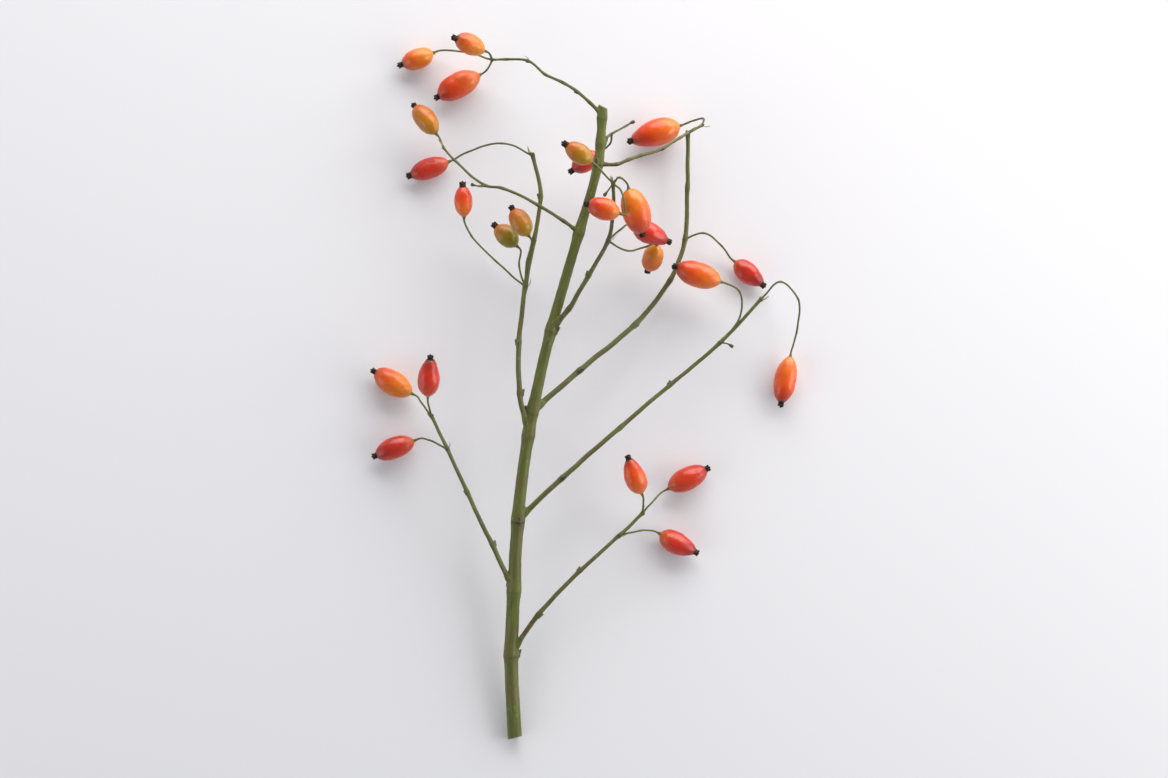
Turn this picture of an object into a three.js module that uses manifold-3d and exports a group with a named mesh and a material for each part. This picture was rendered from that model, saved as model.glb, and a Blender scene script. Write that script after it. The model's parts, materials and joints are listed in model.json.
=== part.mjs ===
// Rose hip sprig: the top of a topped rose shoot, cut and laid down on a flat surface.
// One woody stem carries ten side shoots and twigs, and each twig ends in stalks that hold the hips.
// Units are millimetres and +Z is up. The stem runs along +Y, from its cut foot to its topped end.
// The origin is on the surface, under the middle of the sprig.

import * as THREE from 'three';
import { mergeVertices } from 'three/addons/utils/BufferGeometryUtils.js';
import Module from 'manifold-3d';

const wasm = await Module();
wasm.setup();

// ---- Driving sizes ----

const GAP = 0.3;              // between pieces that touch
const STEM_FOOT_RADIUS = 2.9;
const STEM_TOP_RADIUS = 1.65;
const STEM_SIDES = 12;
const TWIG_SIDES = 6;
const STALK_SIDES = 5;
const STEM_RING_STEP = 9;     // distance between the rings of a tube
const TWIG_RING_STEP = 8;
const STALK_RING_STEP = 4;
const STALK_RADIUS = 0.4;
const STALK_SEAT_RADIUS = 0.85; // where a stalk widens to hold its hip
const NODE_SWELL = 0.35;      // how far a node stands out from the stem
const NODE_REACH = 4.5;       // how far along the stem the swelling fades
const TOP_CUT_DEPTH = 1.1;
const TOP_CUT_NORMAL = new THREE.Vector3(0.45, 1, 0.1);
const KNUCKLE = 1.3;          // a fork's knuckle, as a share of the twig's radius there

const HIP_SEGMENTS = 12;
const CALYX_SEGMENTS = 8;
const CALYX_LENGTH = 2.2;
const CALYX_RADIUS = 1.55;
const HIP_SEAT_RADIUS = 1.0;  // the flat end that meets the stalk
const HIP_MOUTH_RADIUS = 1.5; // the flat end that meets the dried calyx

// A hip's outline: share of its length from the stalk, and share of its half width.
const HIP_OUTLINE = new THREE.SplineCurve([
  new THREE.Vector2(0.025, 0.32),
  new THREE.Vector2(0.12, 0.64),
  new THREE.Vector2(0.3, 0.92),
  new THREE.Vector2(0.52, 1.0),
  new THREE.Vector2(0.74, 0.91),
  new THREE.Vector2(0.9, 0.67),
  new THREE.Vector2(0.98, 0.45),
]);
const HIP_RINGS = 6;          // steps along that outline

// ---- Materials ----

const skin = (color) => new THREE.MeshStandardMaterial({ color, roughness: 0.28, metalness: 0 });
const bark = (color) => new THREE.MeshStandardMaterial({ color, roughness: 0.7, metalness: 0 });

const MATERIALS = {
  orange: skin(0xe0742a),
  red: skin(0xc43a2c),
  amber: skin(0xc8922f),
  calyx: new THREE.MeshStandardMaterial({ color: 0x2f241b, roughness: 0.9, metalness: 0 }),
  stem: bark(0x66763f),
  twig: bark(0x76864c),
};

// ---- The stem and what grows on it ----

// The stem's line, from the cut foot to the topped end.
const STEM_ROUTE = [
  [-2, 0, 2.9], [-3.4, 34, 7.4], [-2, 62, 12], [-0.5, 88, 16], [4.2, 124, 20.5],
  [11, 156, 24.5], [18.2, 182, 27], [25, 205, 28.6], [31.2, 228, 30], [33, 250, 31],
];
const STEM_NODES_AT = [34, 60, 88, 122, 131, 163, 201, 228, 236, 246]; // heights of the nodes along +Y

// Each twig starts on the stem's axis. A hip lies between base, where its stalk ends, and end, the far
// end of its calyx. Places with no height are hips that lie on the surface. A stalk leaves the twig at
// the route point numbered from, and passes through the via points.
const TWIGS = [
  {
    name: 'tip_twig',
    route: [
      [32.8, 246.5, 31], [28, 251.5, 32.2], [23, 255.8, 31.6], [17.4, 259.4, 29.8], [10.8, 263, 27],
      [3.7, 269, 22.4], [-5, 270, 17.2], [-10.5, 270.3, 14.5],
    ],
    radii: [0.65, 0.45],
    hips: [
      { from: 7, skin: 'orange', width: 10.4, base: [-16.1, 265.3], end: [-34.3, 255.7] },
      { from: 7, skin: 'orange', width: 8.3, base: [-13.8, 273.3, 18], end: [-26.4, 278.1, 25] },
      {
        from: 7, skin: 'orange', width: 8.5, base: [-34.6, 274.2], end: [-49, 268.9],
        via: [[-21, 273.6, 10.5]],
      },
    ],
  },
  {
    name: 'upper_right_twig',
    route: [
      [31.2, 228, 30], [38.5, 227.4, 30.4], [43, 229.3, 29.8], [48, 231.2, 28.2], [56.4, 234.1, 24],
      [63.3, 238.9, 20.2], [67.6, 241.5, 18.2], [72.6, 244.2, 16.4],
    ],
    radii: [0.7, 0.5],
    hips: [
      {
        from: 7, skin: 'orange', width: 11, base: [63.9, 244.9], end: [42.9, 238.4],
        via: [[73.2, 247, 13.6], [69.6, 246.8, 8.4]],
      },
    ],
  },
  {
    name: 'back_twig',
    route: [[32.2, 236, 30.3], [36.5, 239.6, 27.4], [43, 243.4, 25.6]],
    radii: [0.5, 0.4],
    hips: [
      {
        from: 1, skin: 'red', width: 8.6, base: [31.2, 232.8, 19.6], end: [19.6, 225.2, 17],
        via: [[36, 236.2, 23]],
      },
    ],
  },
  {
    name: 'front_shoot',
    route: [
      [12.8, 163, 25.2], [19.7, 171, 30], [27.5, 184, 33.6], [35, 197.4, 36], [36.9, 209, 37.6],
      [37, 219.5, 39],
    ],
    radii: [1.05, 0.65],
    hips: [
      {
        from: 5, skin: 'amber', width: 8, base: [28.6, 227.6, 40], end: [17.2, 235.2, 42],
        via: [[33.4, 223, 41.4]],
      },
      {
        from: 5, skin: 'orange', width: 11.4, base: [43, 217, 41], end: [48.9, 198.4, 35.6],
        via: [[39.6, 221.4, 42]],
      },
      {
        from: 5, skin: 'orange', width: 9, base: [39.4, 207.4, 46], end: [25.4, 211.4, 45],
        via: [[40.2, 215.6, 44.6]],
      },
      {
        from: 3, skin: 'red', width: 8.8, base: [45.2, 203.4, 27.2], end: [60.2, 197.2, 22.6],
        via: [[39.6, 201.6, 31.4]],
      },
      {
        from: 3, skin: 'orange', width: 8.6, base: [54.4, 196.6, 17.4], end: [50.8, 186, 7.6],
        via: [[42.4, 193.8, 29.6], [50.6, 196, 20.6]],
      },
    ],
  },
  {
    name: 'left_long_twig',
    route: [
      [23.8, 201, 28.3], [17.6, 205.2, 31.8], [8.1, 211.4, 33], [-6, 218, 31], [-13, 219.4, 28.4],
      [-25.3, 230, 21], [-29.8, 235, 18],
    ],
    radii: [0.7, 0.45],
    hips: [
      { from: 6, skin: 'amber', width: 8.7, base: [-32.8, 241, 15.6], end: [-42.6, 253.4, 11.4] },
    ],
  },
  {
    name: 'left_shoot',
    route: [
      [4, 122, 20.3], [0.4, 138, 24.2], [0.2, 158, 24.4], [2.6, 180, 22.6], [6, 198.5, 20.6],
      [8.6, 215.7, 19.6], [5.4, 232, 19],
    ],
    radii: [1.1, 0.75],
    hips: [
      {
        from: 6, skin: 'red', width: 8.6, base: [-28.6, 230.6], end: [-45.6, 224.6],
        via: [[-7, 237, 18.4], [-20.4, 234, 10.6]],
      },
      {
        from: 3, skin: 'amber', width: 8.6, base: [4, 199.8, 27.2], end: [-3.4, 212, 26.4],
        via: [[3.2, 189.6, 25]],
      },
      {
        from: 3, skin: 'amber', width: 8.4, base: [-1, 196.4, 17.4], end: [-10.6, 205.4, 16.4],
        via: [[0, 188.4, 19]],
      },
      {
        from: 3, skin: 'orange', width: 7.4, base: [-21.4, 207.4, 24], end: [-22, 221.4, 26],
        via: [[-9, 190, 24], [-18.6, 200, 23]],
      },
    ],
  },
  {
    name: 'right_shoot',
    route: [
      [5.6, 131, 21.3], [24, 147, 17.4], [46, 165.6, 11.4], [60, 183, 8], [66, 199.4, 7.4],
      [66.9, 220, 7.4], [67.1, 241.4, 8.4],
    ],
    radii: [1.15, 0.8],
    hips: [
      {
        from: 4, skin: 'red', width: 8.6, base: [86.2, 190.6], end: [98.4, 180.4],
        via: [[73.4, 202, 8.6], [80.6, 197, 7.6]],
      },
    ],
  },
  {
    name: 'right_long_twig',
    route: [
      [-0.5, 88, 16], [17, 104.4, 17.2], [40, 124.4, 14.6], [60, 141.4, 12.6], [79.6, 158, 12.2],
      [96, 175.4, 13],
    ],
    radii: [1.1, 0.65],
    hips: [
      {
        from: 4, skin: 'orange', width: 10.4, base: [79.8, 182.2, 15.6], end: [60.4, 188.6, 15.8],
        via: [[87.6, 168, 14], [87.2, 178.4, 16]],
      },
      {
        from: 5, skin: 'orange', width: 9.4, base: [108.2, 152.6], end: [104.2, 132.4],
        via: [[103.4, 182.4, 14], [110.6, 175.4, 12.6], [110.4, 162.4, 7.4]],
      },
    ],
  },
  {
    name: 'lower_left_twig',
    route: [[-2, 60, 11.7], [-10.6, 78, 16.6], [-20.4, 99, 18.6], [-28.4, 116, 17.6], [-34.6, 129, 16]],
    radii: [1.05, 0.65],
    hips: [
      {
        from: 4, skin: 'orange', width: 10, base: [-43.4, 138], end: [-59.6, 147.6],
        via: [[-38.6, 134, 11.6]],
      },
      { from: 4, skin: 'red', width: 9.2, base: [-35.8, 137, 21], end: [-34.4, 153.4, 27.6] },
      {
        from: 3, skin: 'red', width: 9, base: [-42.4, 119], end: [-59.4, 112.4],
        via: [[-35.6, 119.4, 12]],
      },
    ],
  },
  {
    name: 'lower_right_twig',
    route: [[-3.4, 34, 7.4], [7.6, 50, 12.4], [24, 67.6, 14.4], [39.6, 81.4, 13.4], [49, 90.4, 12.4]],
    radii: [1.05, 0.65],
    hips: [
      {
        from: 4, skin: 'red', width: 9.6, base: [59.6, 100], end: [76.4, 108.6],
        via: [[54, 96, 9.6]],
      },
      {
        from: 3, skin: 'red', width: 9.2, base: [56.2, 81.8], end: [72, 73.6],
        via: [[48, 83.4, 11]],
      },
      { from: 4, skin: 'orange', width: 8.8, base: [48.4, 98.6, 16.6], end: [42.6, 114, 21.4] },
    ],
  },
];

// ---- Shapes ----

const UP = new THREE.Vector3(0, 1, 0); // turned forms stand along this axis before they are laid down
const vector = ([x, y, z = 0]) => new THREE.Vector3(x, y, z);
const line = (points) => new THREE.CatmullRomCurve3(points, false, 'centripetal');

// A round tube along a curve. radiusAt gives its radius at a share of the curve's length.
function tube(curve, radiusAt, sides, ringStep) {
  const steps = Math.max(3, Math.round(curve.getLength() / ringStep));
  const thin = 0.2; // the section is swept this thin, and each ring is then opened to its own radius
  const corners = Array.from({ length: sides }, (_, i) => {
    const turn = (2 * Math.PI * i) / sides;
    return new THREE.Vector2(thin * Math.cos(turn), thin * Math.sin(turn));
  });
  const sweep = { steps, bevelEnabled: false, extrudePath: curve };
  const swept = new THREE.ExtrudeGeometry(new THREE.Shape(corners), sweep);
  const centres = curve.getSpacedPoints(steps);
  const position = swept.getAttribute('position');
  const point = new THREE.Vector3();
  for (let i = 0; i < position.count; i++) {
    point.fromBufferAttribute(position, i);
    let ring = 0;
    for (let k = 1; k <= steps; k++) {
      if (point.distanceToSquared(centres[k]) < point.distanceToSquared(centres[ring])) ring = k;
    }
    point.sub(centres[ring]).multiplyScalar(radiusAt(ring / steps) / thin).add(centres[ring]);
    position.setXYZ(i, point.x, point.y, point.z);
  }
  return swept;
}

// A closed geometry as a manifold-3d solid.
function solidOf(geometry) {
  const bare = geometry.clone();
  bare.deleteAttribute('normal');
  bare.deleteAttribute('uv');
  const merged = mergeVertices(bare, 1e-3);
  return new wasm.Manifold(new wasm.Mesh({
    numProp: 3,
    vertProperties: merged.getAttribute('position').array,
    triVerts: new Uint32Array(merged.index.array),
  }));
}

// A manifold-3d solid as a geometry.
function geometryOf(solid) {
  const mesh = solid.getMesh();
  const geometry = new THREE.BufferGeometry();
  geometry.setAttribute('position', new THREE.BufferAttribute(mesh.vertProperties, 3));
  geometry.setIndex(new THREE.BufferAttribute(mesh.triVerts, 1));
  geometry.computeVertexNormals();
  return geometry;
}

// A half space as a box, with its face through the point, on the side that the normal points to.
function beyond(point, normal) {
  const side = 30;
  const block = new THREE.BoxGeometry(side, side, side);
  block.translate(0, side / 2, 0);
  const turn = new THREE.Quaternion().setFromUnitVectors(UP, normal.clone().normalize());
  block.applyQuaternion(turn);
  return solidOf(block.translate(point.x, point.y, point.z));
}

const STEM_LINE = line(STEM_ROUTE.map(vector));

// The stem's radius at a share of its length: an even taper, with a swelling at each node.
function stemRadius(share) {
  const { y } = STEM_LINE.getPointAt(share);
  const taper = THREE.MathUtils.lerp(STEM_FOOT_RADIUS, STEM_TOP_RADIUS, share);
  const swelling = STEM_NODES_AT.map((at) => NODE_SWELL * Math.exp(-(((y - at) / NODE_REACH) ** 2)));
  return taper + Math.max(...swelling);
}

// The whole stem, or the space that its twigs keep clear of when it is grown by the gap.
const stemSolid = (grow = 0) =>
  solidOf(tube(STEM_LINE, (share) => stemRadius(share) + grow, STEM_SIDES, STEM_RING_STEP));

// The slanting cut that the secateurs left at the stem's top.
function topCut() {
  const lowest = STEM_LINE.getPoint(1).add(new THREE.Vector3(0, -TOP_CUT_DEPTH, 0));
  return beyond(lowest, TOP_CUT_NORMAL);
}

// A twig with its stalks as one solid, which starts at the stem's bark.
function twigSolid(twig, clear) {
  const route = twig.route.map(vector);
  const curve = line(route);
  const [thick, fine] = twig.radii;
  const radiusNear = (share) => THREE.MathUtils.lerp(thick, fine, share);
  let solid = solidOf(tube(curve, radiusNear, TWIG_SIDES, TWIG_RING_STEP));
  for (const hip of twig.hips) {
    const fork = route[hip.from];
    const share = hip.from / (route.length - 1);
    const knuckle = new THREE.SphereGeometry(KNUCKLE * radiusNear(share), TWIG_SIDES, TWIG_SIDES / 2);
    solid = solid.add(solidOf(knuckle.translate(fork.x, fork.y, fork.z)));
    const seat = hip.at.base.clone().addScaledVector(hip.at.axis, -GAP);
    const before = seat.clone().addScaledVector(hip.at.axis, -2);
    const stalk = line([fork, ...(hip.via ?? []).map(vector), before, seat]);
    const stalkRadius = (at) => STALK_RADIUS + (STALK_SEAT_RADIUS - STALK_RADIUS) * at ** 8;
    solid = solid.add(solidOf(tube(stalk, stalkRadius, STALK_SIDES, STALK_RING_STEP)));
  }
  return solid.subtract(clear);
}

// A turned form standing on the origin along +Y, from its outline as [radius, height] pairs.
const turned = (outline, segments) =>
  new THREE.LatheGeometry(outline.map(([radius, height]) => new THREE.Vector2(radius, height)), segments);

function hipGeometry(length, width) {
  const waist = HIP_OUTLINE.getPoints(HIP_RINGS).map((p) => [(p.y * width) / 2, p.x * length]);
  const rings = [[0, 0], [HIP_SEAT_RADIUS, 0], ...waist, [HIP_MOUTH_RADIUS, length], [0, length]];
  return turned(rings, HIP_SEGMENTS);
}

// The dried calyx: a short stub that narrows to its far end.
function calyxGeometry() {
  const rings = [
    [0, 0], [0.85 * CALYX_RADIUS, 0], [CALYX_RADIUS, 0.4 * CALYX_LENGTH],
    [0.8 * CALYX_RADIUS, CALYX_LENGTH], [0, CALYX_LENGTH],
  ];
  return turned(rings, CALYX_SEGMENTS);
}

// Where a hip lies: its base, its axis and its own length. A hip with no height rests on the surface.
function placeHip(hip) {
  const base = vector(hip.base);
  const end = vector(hip.end);
  const axis = end.clone().sub(base).normalize();
  const length = end.distanceTo(base) - CALYX_LENGTH - GAP;
  const geometry = hipGeometry(length, hip.width);
  geometry.applyQuaternion(new THREE.Quaternion().setFromUnitVectors(UP, axis));
  if (hip.base.length === 2) {
    geometry.computeBoundingBox();
    base.z = -geometry.boundingBox.min.z;
  }
  return { base, axis, length };
}

// ---- The sprig ----

const sprig = new THREE.Group();

function place(name, geometry, material, at = new THREE.Vector3(), axis = null) {
  const mesh = new THREE.Mesh(geometry, material);
  mesh.name = name;
  mesh.position.copy(at);
  if (axis) mesh.quaternion.setFromUnitVectors(UP, axis);
  sprig.add(mesh);
}

place('main_stem', geometryOf(stemSolid().subtract(topCut())), MATERIALS.stem);

const barkClearance = stemSolid(GAP);
for (const twig of TWIGS) {
  for (const hip of twig.hips) hip.at = placeHip(hip);
  place(twig.name, geometryOf(twigSolid(twig, barkClearance)), MATERIALS.twig);
  twig.hips.forEach((hip, i) => {
    const { base, axis, length } = hip.at;
    const mouth = base.clone().addScaledVector(axis, length + GAP);
    place(`${twig.name}_hip_${i + 1}`, hipGeometry(length, hip.width), MATERIALS[hip.skin], base, axis);
    place(`${twig.name}_calyx_${i + 1}`, calyxGeometry(), MATERIALS.calyx, mouth, axis);
  });
}

// The origin moves to the surface under the middle of the sprig.
const bounds = new THREE.Box3().setFromObject(sprig, true);
const middle = bounds.getCenter(new THREE.Vector3());
sprig.position.set(-middle.x, -middle.y, -bounds.min.z);

const part = new THREE.Group();
part.add(sprig);

export default part;
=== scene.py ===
"""Rose hip sprig: the finished look of the stem, its twigs and its hips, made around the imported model."""

import json
import logging
import math
import random
from dataclasses import dataclass, field
from enum import Enum

import bpy
from mathutils import Matrix, Vector, noise
from mathutils.kdtree import KDTree


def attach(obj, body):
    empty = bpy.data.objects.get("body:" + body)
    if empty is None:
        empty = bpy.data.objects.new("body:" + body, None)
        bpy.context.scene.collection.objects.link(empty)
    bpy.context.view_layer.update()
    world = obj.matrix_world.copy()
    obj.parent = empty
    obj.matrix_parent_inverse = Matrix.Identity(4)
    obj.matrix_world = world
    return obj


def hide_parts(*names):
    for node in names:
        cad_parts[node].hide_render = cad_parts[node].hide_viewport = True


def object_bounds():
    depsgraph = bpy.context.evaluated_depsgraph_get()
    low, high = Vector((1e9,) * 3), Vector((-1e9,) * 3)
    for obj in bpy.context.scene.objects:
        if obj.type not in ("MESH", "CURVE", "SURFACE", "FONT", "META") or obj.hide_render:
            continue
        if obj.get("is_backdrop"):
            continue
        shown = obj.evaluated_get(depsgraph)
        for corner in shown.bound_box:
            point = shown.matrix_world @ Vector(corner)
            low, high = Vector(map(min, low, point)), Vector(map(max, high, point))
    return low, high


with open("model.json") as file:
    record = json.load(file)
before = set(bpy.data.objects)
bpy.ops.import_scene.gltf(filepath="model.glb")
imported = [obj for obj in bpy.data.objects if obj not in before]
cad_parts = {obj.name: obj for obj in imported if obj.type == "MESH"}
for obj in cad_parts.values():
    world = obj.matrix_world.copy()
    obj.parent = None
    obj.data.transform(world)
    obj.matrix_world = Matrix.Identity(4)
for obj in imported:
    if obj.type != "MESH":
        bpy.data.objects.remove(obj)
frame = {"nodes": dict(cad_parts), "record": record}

log = logging.getLogger("rose_hip_sprig")

MM = 0.001
BODY = "root"
Row = tuple[float, float]
Place = tuple[float, float, float]
Colour = tuple[float, float, float, float]


# ---- The plan of the sprig: the routes of the wood, in millimetres, as the CAD part has them ----

STEM_ROUTE: list[Place] = [
    (-2, 0, 2.9), (-3.4, 34, 7.4), (-2, 62, 12), (-0.5, 88, 16), (4.2, 124, 20.5),
    (11, 156, 24.5), (18.2, 182, 27), (25, 205, 28.6), (31.2, 228, 30), (33, 250, 31),
]
STEM_RADII = (2.9, 1.65)
STEM_NODE_HEIGHTS = (34, 60, 88, 122, 131, 163, 201, 228, 236, 246)


@dataclass(frozen=True)
class Stalk:
    """A stalk that holds one hip.

    Attributes:
        leaves: The number of the twig's route point that it leaves from.
        tone: How far its hip has ripened, from 0 to 1.
        via: The points that it passes on its way to the hip.
    """

    leaves: int
    tone: float
    via: tuple[Place, ...] = ()


@dataclass(frozen=True)
class TwigPlan:
    """The route of one twig and the stalks on it.

    Attributes:
        name: The CAD node's name.
        route: The points of its middle line, from the stem's axis outwards.
        radii: Its radius at the stem and at its far end.
        stalks: Its stalks, in the order of its hips.
        cut: Whether its far end was cut off square.
        buds: The numbers of the route points where a bud sits.
        bracts: The numbers of the route points where small bracts sit.
        withered: The routes of short stalks that lost their flower, each from its fork.
    """

    name: str
    route: tuple[Place, ...]
    radii: Row
    stalks: tuple[Stalk, ...]
    cut: bool = False
    buds: tuple[int, ...] = ()
    bracts: tuple[int, ...] = ()
    withered: tuple[tuple[Place, ...], ...] = ()


TWIGS = [
    TwigPlan(
        "tip_twig",
        ((32.8, 246.5, 31), (28, 251.5, 32.2), (23, 255.8, 31.6), (17.4, 259.4, 29.8), (10.8, 263, 27),
         (3.7, 269, 22.4), (-5, 270, 17.2), (-10.5, 270.3, 14.5)),
        (0.65, 0.45),
        (Stalk(7, 0.6), Stalk(7, 0.05), Stalk(7, 0.15, ((-21, 273.6, 10.5),))),
        buds=(2, 5), bracts=(5, 7),
    ),
    TwigPlan(
        "upper_right_twig",
        ((31.2, 228, 30), (38.5, 227.4, 30.4), (43, 229.3, 29.8), (48, 231.2, 28.2), (56.4, 234.1, 24),
         (63.3, 238.9, 20.2), (67.6, 241.5, 18.2), (72.6, 244.2, 16.4)),
        (0.7, 0.5),
        (Stalk(7, 0.6, ((73.2, 247, 13.6), (69.6, 246.8, 8.4))),),
        buds=(1, 4), bracts=(6, 7),
    ),
    TwigPlan(
        "back_twig",
        ((32.2, 236, 30.3), (36.5, 239.6, 27.4), (43, 243.4, 25.6)),
        (0.5, 0.4),
        (Stalk(1, 0.6, ((36, 236.2, 23),)),),
        withered=(((43, 243.4, 25.6), (44.2, 244.2, 25.4), (45.6, 244.8, 25)),),
    ),
    TwigPlan(
        "front_shoot",
        ((12.8, 163, 25.2), (19.7, 171, 30), (27.5, 184, 33.6), (35, 197.4, 36), (36.9, 209, 37.6),
         (37, 219.5, 39)),
        (1.05, 0.65),
        (Stalk(5, 0.3, ((33.4, 223, 41.4),)), Stalk(5, 0.35, ((39.6, 221.4, 42),)),
         Stalk(5, 0.6, ((40.2, 215.6, 44.6),)), Stalk(3, 0.7, ((39.6, 201.6, 31.4),)),
         Stalk(3, 0.1, ((42.4, 193.8, 29.6), (50.6, 196, 20.6)))),
        buds=(2, 4), bracts=(3, 5, 5, 5),
        withered=(((37, 219.5, 39), (35.6, 217.4, 39.8), (33.4, 214.4, 40.4)),),
    ),
    TwigPlan(
        "left_long_twig",
        ((23.8, 201, 28.3), (17.6, 205.2, 31.8), (8.1, 211.4, 33), (-6, 218, 31), (-13, 219.4, 28.4),
         (-25.3, 230, 21), (-29.8, 235, 18)),
        (0.7, 0.45),
        (Stalk(6, 0.45),),
        buds=(4,), bracts=(4, 6),
        withered=(((-13, 219.4, 28.4), (-16, 219.2, 29.2), (-18.6, 219.8, 29.4)),),
    ),
    TwigPlan(
        "left_shoot",
        ((4, 122, 20.3), (0.4, 138, 24.2), (0.2, 158, 24.4), (2.6, 180, 22.6), (6, 198.5, 20.6),
         (8.6, 215.7, 19.6), (5.4, 232, 19)),
        (1.1, 0.75),
        (Stalk(6, 0.5, ((-7, 237, 18.4), (-20.4, 234, 10.6))), Stalk(3, 0.3, ((3.2, 189.6, 25),)),
         Stalk(3, 0.0, ((0, 188.4, 19),)), Stalk(3, 0.9, ((-9, 190, 24), (-18.6, 200, 23)))),
        cut=True, buds=(1, 2, 5), bracts=(3, 6),
    ),
    TwigPlan(
        "right_shoot",
        ((5.6, 131, 21.3), (24, 147, 17.4), (46, 165.6, 11.4), (60, 183, 8), (66, 199.4, 7.4),
         (66.9, 220, 7.4), (67.1, 241.4, 8.4)),
        (1.15, 0.8),
        (Stalk(4, 0.8, ((73.4, 202, 8.6), (80.6, 197, 7.6))),),
        cut=True, buds=(1, 2, 5), bracts=(4,),
    ),
    TwigPlan(
        "right_long_twig",
        ((-0.5, 88, 16), (17, 104.4, 17.2), (40, 124.4, 14.6), (60, 141.4, 12.6), (79.6, 158, 12.2),
         (96, 175.4, 13)),
        (1.1, 0.65),
        (Stalk(4, 0.4, ((87.6, 168, 14), (87.2, 178.4, 16))),
         Stalk(5, 0.45, ((103.4, 182.4, 14), (110.6, 175.4, 12.6), (110.4, 162.4, 7.4)))),
        buds=(1, 3), bracts=(4, 5),
        withered=(((79.6, 158, 12.2), (82.4, 157.8, 12.8), (85, 156.4, 12.6)),),
    ),
    TwigPlan(
        "lower_left_twig",
        ((-2, 60, 11.7), (-10.6, 78, 16.6), (-20.4, 99, 18.6), (-28.4, 116, 17.6), (-34.6, 129, 16)),
        (1.05, 0.65),
        (Stalk(4, 0.25, ((-38.6, 134, 11.6),)), Stalk(4, 0.8), Stalk(3, 0.6, ((-35.6, 119.4, 12),))),
        buds=(1, 2), bracts=(3, 4),
    ),
    TwigPlan(
        "lower_right_twig",
        ((-3.4, 34, 7.4), (7.6, 50, 12.4), (24, 67.6, 14.4), (39.6, 81.4, 13.4), (49, 90.4, 12.4)),
        (1.05, 0.65),
        (Stalk(4, 0.45, ((54, 96, 9.6),)), Stalk(3, 0.65, ((48, 83.4, 11),)), Stalk(4, 0.5)),
        buds=(1, 2), bracts=(3, 4),
    ),
]


# ---- Work at the bench: selecting, modifiers and joins ----


def deselect() -> None:
    """Leaves edit mode and leaves nothing selected."""
    if bpy.context.object and bpy.context.object.mode != "OBJECT":
        bpy.ops.object.mode_set(mode="OBJECT")
    bpy.ops.object.select_all(action="DESELECT")


def pick(*pieces: bpy.types.Object) -> None:
    """Selects these objects alone and makes the first one active.

    Args:
        *pieces: The objects to select.
    """
    deselect()
    for piece in pieces:
        piece.select_set(True)
    bpy.context.view_layer.objects.active = pieces[0]


def edit_all() -> None:
    """Goes into edit mode on the active object with all of it selected."""
    bpy.ops.object.mode_set(mode="EDIT")
    bpy.ops.mesh.select_all(action="SELECT")


def finish_with(piece: bpy.types.Object, kind: str, **settings: object) -> None:
    """Adds a modifier to a piece, sets it and applies it.

    Args:
        piece: The object to change.
        kind: The modifier's type.
        **settings: The modifier's own settings.
    """
    pick(piece)
    bpy.ops.object.modifier_add(type=kind)
    modifier = piece.modifiers[-1]
    for key, value in settings.items():
        setattr(modifier, key, value)
    bpy.ops.object.modifier_apply(modifier=modifier.name)


def roughen(piece: bpy.types.Object, grain: float, height: float) -> None:
    """Raises and lowers a piece's surface a little, so that it isn't perfectly even.

    Args:
        piece: The object to change.
        grain: The size of the lumps, in metres.
        height: How far they stand out, in metres.
    """
    lumps = bpy.data.textures.new("lumps", "CLOUDS")
    lumps.noise_scale = grain
    finish_with(piece, "DISPLACE", texture=lumps, strength=height, mid_level=0.5, texture_coords="LOCAL")
    bpy.data.textures.remove(lumps)


def join(pieces: list[bpy.types.Object], name: str) -> bpy.types.Object:
    """Joins objects into one and names it.

    Args:
        pieces: The objects to join.
        name: The name of the joined object.

    Returns:
        The joined object.
    """
    pick(*pieces)
    if len(pieces) > 1:
        bpy.ops.object.join()
    joined = bpy.context.object
    joined.name = joined.data.name = name
    return joined


def copy_of(model: bpy.types.Object, name: str) -> bpy.types.Object:
    """Copies a model with a mesh of its own.

    Args:
        model: The object to copy.
        name: The name of the copy.

    Returns:
        The copy, linked to the scene.
    """
    mesh = model.data.copy()
    mesh.name = name
    twin = bpy.data.objects.new(name, mesh)
    bpy.context.scene.collection.objects.link(twin)
    return twin


def loft(rows: list[Row], sides: int) -> bpy.types.Object:
    """Draws a round form out of a disc, ring by ring, along +Z.

    Args:
        rows: The height and the radius of each ring, in metres, from the first at height 0.
        sides: The number of sides of a ring.

    Returns:
        The closed form, standing on the origin.
    """
    deselect()
    bpy.ops.mesh.primitive_circle_add(vertices=sides, radius=rows[0][1], fill_type="NGON")
    form = bpy.context.object
    edit_all()
    for (low, wide), (high, wider) in zip(rows, rows[1:]):
        bpy.ops.mesh.extrude_region_move(TRANSFORM_OT_translate={"value": (0, 0, high - low)})
        grow = wider / wide
        bpy.ops.transform.resize(value=(grow, grow, 1), center_override=(0, 0, high))
    bpy.ops.mesh.select_all(action="SELECT")
    bpy.ops.mesh.normals_make_consistent(inside=False)
    deselect()
    return form


def standing(place: Vector, way: Vector) -> Matrix:
    """The turn and move that stands a form made along +Z at a place, pointing a way."""
    return Matrix.Translation(place) @ way.to_track_quat("Z", "Y").to_matrix().to_4x4()


def smooth_over(piece: bpy.types.Object, degrees: float = 180.0) -> None:
    """Shades a piece smooth, except at edges that turn by more than an angle.

    Args:
        piece: The object to shade.
        degrees: The angle.
    """
    pick(piece)
    if degrees < 180.0:
        bpy.ops.object.shade_smooth_by_angle(angle=math.radians(degrees))
    else:
        bpy.ops.object.shade_smooth()


def put_attribute(piece: bpy.types.Object, name: str, values: list[float]) -> None:
    """Stores one number for each vertex, for the materials to read."""
    attribute = piece.data.attributes.new(name, "FLOAT", "POINT")
    attribute.data.foreach_set("value", values)


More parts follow.
